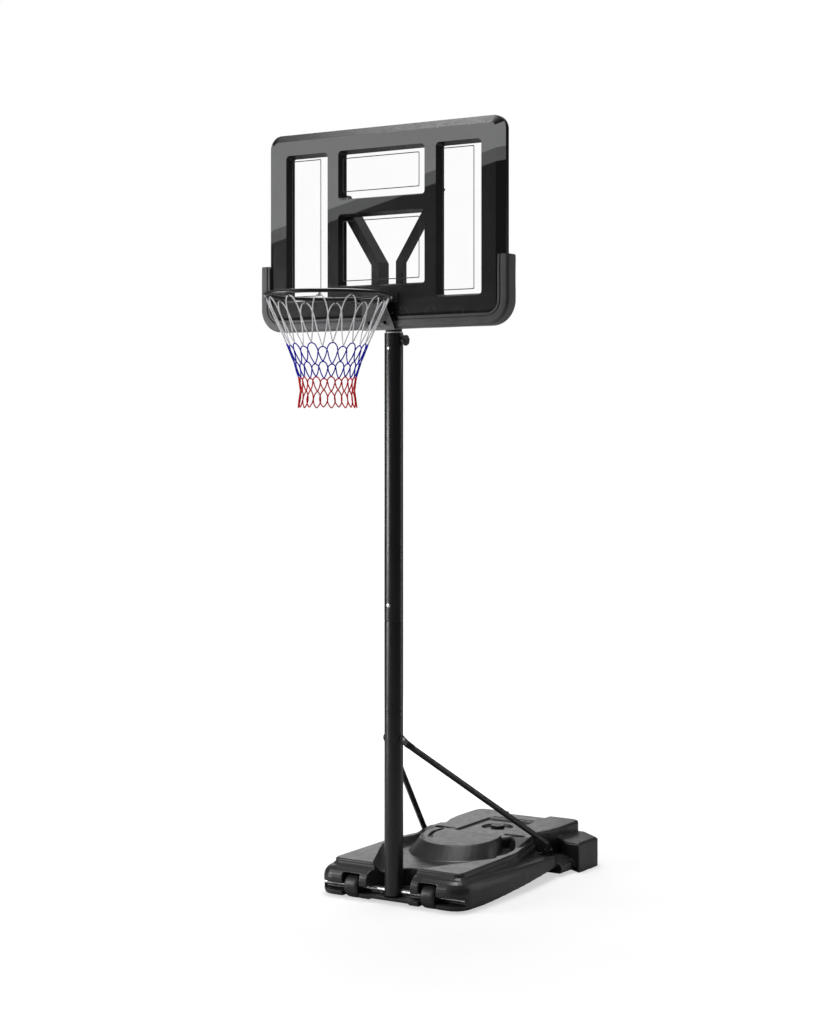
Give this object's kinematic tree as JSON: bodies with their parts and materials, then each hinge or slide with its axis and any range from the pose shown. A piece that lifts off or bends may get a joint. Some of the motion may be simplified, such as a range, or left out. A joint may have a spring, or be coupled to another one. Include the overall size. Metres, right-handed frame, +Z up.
{
  "type": "portable basketball hoop",
  "caption": "Wheeled ballast base with a telescoping pole and two rear struts, carrying a framed clear backboard, a padded lower edge, a steel rim and a net.",
  "frame": {"origin": "on the floor, at the middle of the overall footprint; the pole's axis is at x 0, y -0.220", "axes": "+Z up, -Y towards the court, +X to the right seen from the court"},
  "size_m": [1.174, 1.877, 3.128],
  "materials": {
    "base_plastic": "satin black blow-moulded plastic",
    "frame_plastic": "satin black moulded plastic",
    "black_paint": "satin black powder coat",
    "bright_steel": "bright zinc plate",
    "pad_foam": "soft dark grey skin",
    "clear_sheet": "clear glossy sheet",
    "seal_rubber": "matt black",
    "nylon": "natural white",
    "small_black": "fine-textured black",
    "net_cord": "braided cord in white, blue and red bands"
  },
  "bodies": {
    "base_assembly": {"base_tank": "base_plastic", "axle_rod": "bright_steel", "pole_lower": "black_paint", "pole_upper": "black_paint", "pole_bush": "nylon", "joint_bolt": "bright_steel", "joint_nut": "bright_steel", "bush_screw": "bright_steel", "knob_boss": "black_paint", "strut_left": "black_paint", "strut_right": "black_paint", "strut_top_bolt": "bright_steel", "strut_top_nut": "bright_steel", "strut_foot_bolt_left": "bright_steel", "strut_foot_bolt_right": "bright_steel", "strut_foot_nut_left": "bright_steel", "strut_foot_nut_right": "bright_steel"},
    "hoop_assembly": {"pole_inner": "black_paint", "pole_inner_cap": "small_black", "backboard_frame": "frame_plastic", "backboard_panel": "clear_sheet", "edge_pad": "pad_foam", "bracket_left": "black_paint", "bracket_right": "black_paint", "rim_ring": "black_paint", "rim_bracket": "black_paint", "net": "net_cord", "arm_bolt_left": "bright_steel", "arm_bolt_right": "bright_steel", "cross_bolt_lower": "bright_steel", "cross_nut_lower": "bright_steel", "cross_spacer_lower_left": "nylon", "rim_bolt_lower_left": "bright_steel", "rim_nut_lower_left": "bright_steel", "cross_spacer_lower_right": "nylon", "rim_bolt_lower_right": "bright_steel", "rim_nut_lower_right": "bright_steel", "cross_bolt_upper": "bright_steel", "cross_nut_upper": "bright_steel", "cross_spacer_upper_left": "nylon", "rim_bolt_upper_left": "bright_steel", "rim_nut_upper_left": "bright_steel", "cross_spacer_upper_right": "nylon", "rim_bolt_upper_right": "bright_steel", "rim_nut_upper_right": "bright_steel"},
    "lock_stud": {"lock_stud": "bright_steel"},
    "lock_knob": {"lock_knob": "small_black"},
    "wheel_left": {"wheel_left": "small_black"},
    "wheel_right": {"wheel_right": "small_black"},
    "cap_seal": {"cap_seal": "seal_rubber"},
    "filler_cap": {"filler_cap": "small_black"}
  },
  "joints": [
    {"name": "height_slide", "type": "slide", "parent": "base_assembly", "child": "hoop_assembly", "axis": [0, 0, 1], "range_m": [0, 0.61]},
    {"name": "wheel_left_spin", "type": "hinge", "parent": "base_assembly", "child": "wheel_left", "pos_m": [-0.182, -0.22, 0.048], "axis": [1, 0, 0], "continuous": true},
    {"name": "wheel_right_spin", "type": "hinge", "parent": "base_assembly", "child": "wheel_right", "pos_m": [0.182, -0.22, 0.048], "axis": [1, 0, 0], "continuous": true},
    {"name": "lock_stud_slide", "type": "slide", "parent": "base_assembly", "child": "lock_stud", "axis": [1, 0, 0], "range_m": [0, 0.00376]},
    {"name": "lock_knob_turn", "type": "hinge", "parent": "lock_stud", "child": "lock_knob", "pos_m": [0.055, -0.22, 2.271], "axis": [1, 0, 0], "range_deg": [0, 1080]},
    {"name": "cap_seal_lift", "type": "slide", "parent": "base_assembly", "child": "cap_seal", "axis": [0, 0, 1], "range_m": [0, 0.0121]},
    {"name": "filler_cap_turn", "type": "hinge", "parent": "cap_seal", "child": "filler_cap", "pos_m": [0, 0.638, 0.15], "axis": [0, 0, 1], "range_deg": [0, 720]}
  ],
  "couplings": [
    {"joint": "lock_stud_slide", "follows": "lock_knob_turn", "m_per_rad": 0.00019894},
    {"joint": "cap_seal_lift", "follows": "filler_cap_turn", "m_per_rad": 0.00095493}
  ]
}
